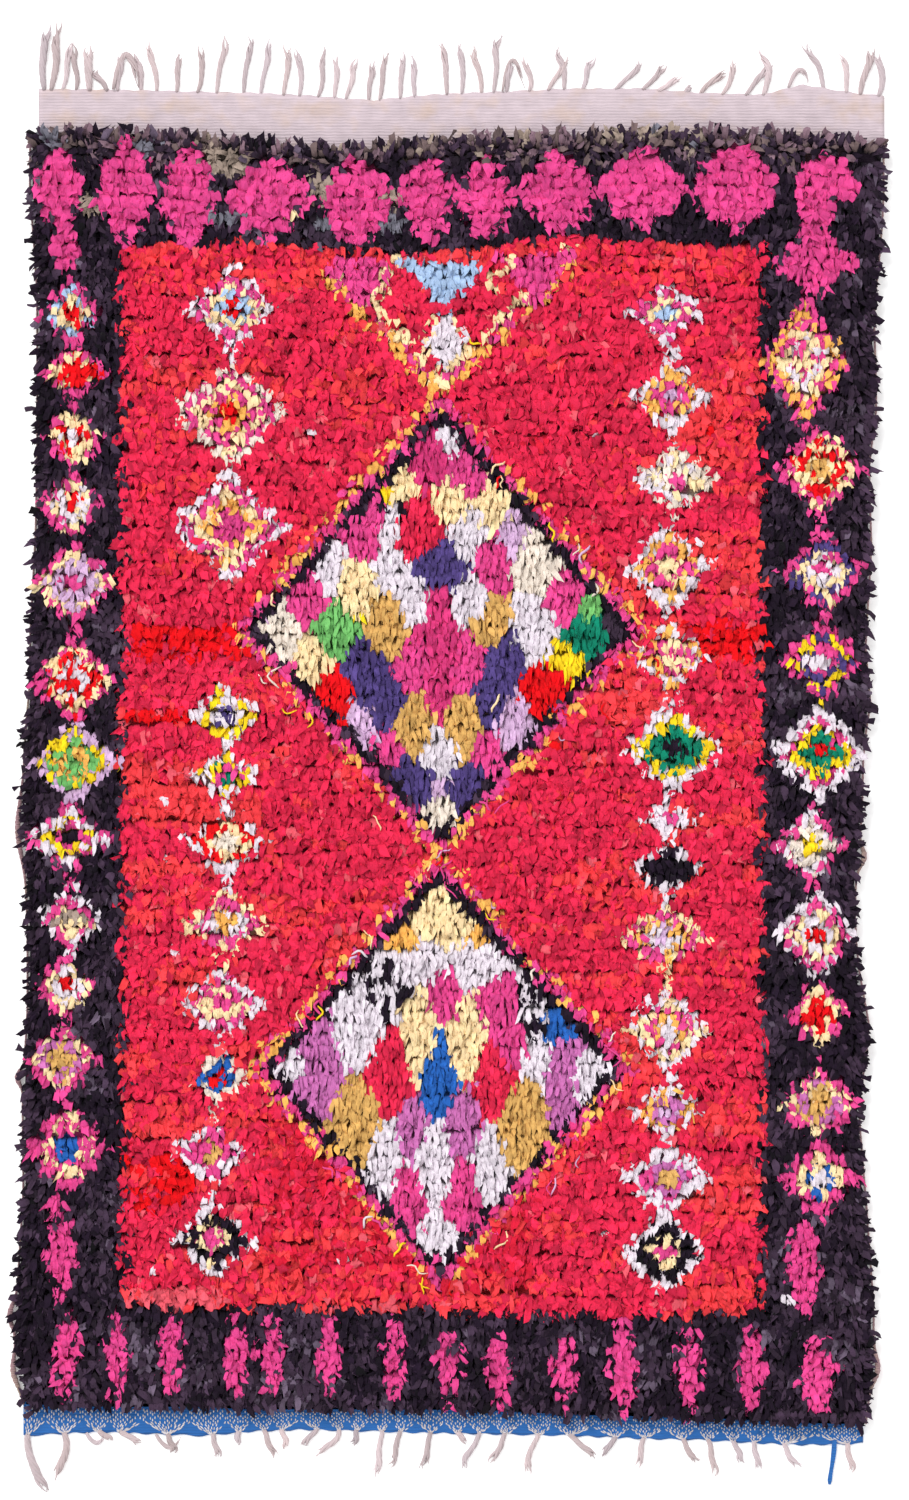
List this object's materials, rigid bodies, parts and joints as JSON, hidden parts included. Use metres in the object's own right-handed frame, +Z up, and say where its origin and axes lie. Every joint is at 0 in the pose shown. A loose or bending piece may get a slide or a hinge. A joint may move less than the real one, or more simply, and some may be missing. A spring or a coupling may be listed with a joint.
{
  "type": "boucherouite rug",
  "caption": "Long rag-pile rug with a lumpy knotted pile, a plain woven web at each end, corded sides and a knotted warp fringe at both ends.",
  "frame": {"origin": "middle of the rug's underside, on the floor", "axes": "+Z up from the floor through the pile, +Y along the rug's length towards the white web, +X across its width"},
  "size_m": [1.5462, 2.5747, 0.0314],
  "materials": {
    "rag_pile": "matt knotted cotton jersey rags in many colours",
    "selvedge_yarn": "matt plied yarn",
    "white_cotton": "matt plain weave and warp ends, stained in places",
    "blue_rag": "matt woven cotton rag"
  },
  "bodies": {
    "root": {"pile_cloth": "rag_pile", "selvedge_left": "selvedge_yarn", "selvedge_right": "selvedge_yarn", "white_end_web": "white_cotton", "blue_end_web": "blue_rag", "white_fringe": "white_cotton", "blue_end_fringe": "white_cotton", "blue_rag_tail": "blue_rag"}
  },
  "joints": []
}
